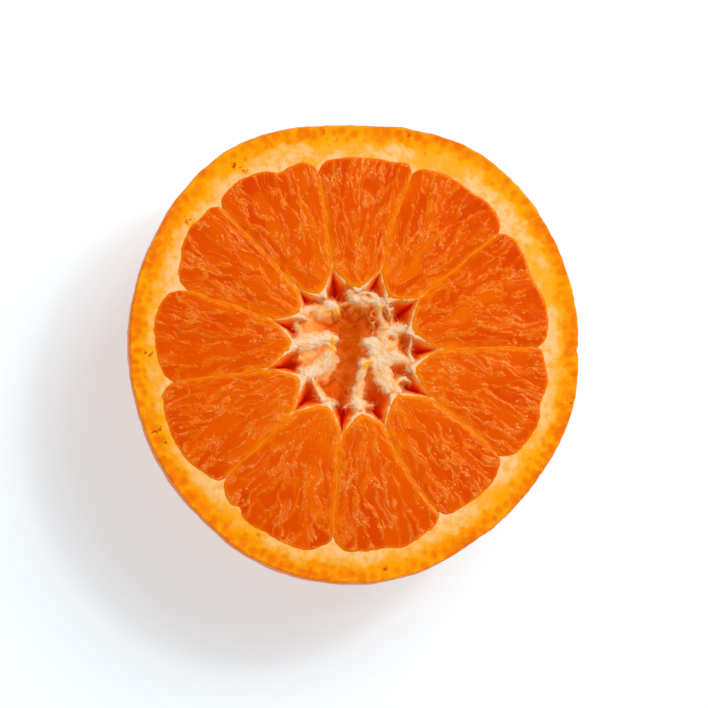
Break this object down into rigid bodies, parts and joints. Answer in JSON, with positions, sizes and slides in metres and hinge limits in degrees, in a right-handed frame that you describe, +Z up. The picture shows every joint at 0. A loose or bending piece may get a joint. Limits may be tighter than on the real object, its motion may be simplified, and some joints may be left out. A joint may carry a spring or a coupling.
{
  "type": "orange half",
  "caption": "Round citrus fruit cut in half across its segments, lying on its rind with the juicy cut face up and a torn hollow core in the middle.",
  "frame": {"origin": "middle of the small flat spot that the half rests on, under the middle of the fruit", "axes": "+Z up out of the cut face, along the core; +X to the right and +Y away in the usual view from above"},
  "size_m": [0.07, 0.0711, 0.0336],
  "materials": {
    "pulp": "wet juice sacs under thin skin, glossy in spots",
    "rind": "dimpled peel with oil glands, satin, soft pith at the cut",
    "membrane": "thin translucent skin between the segments, matte to satin",
    "pith": "dry torn fibres, matte"
  },
  "bodies": {
    "root": {"orange_half": "pulp"}
  },
  "joints": []
}
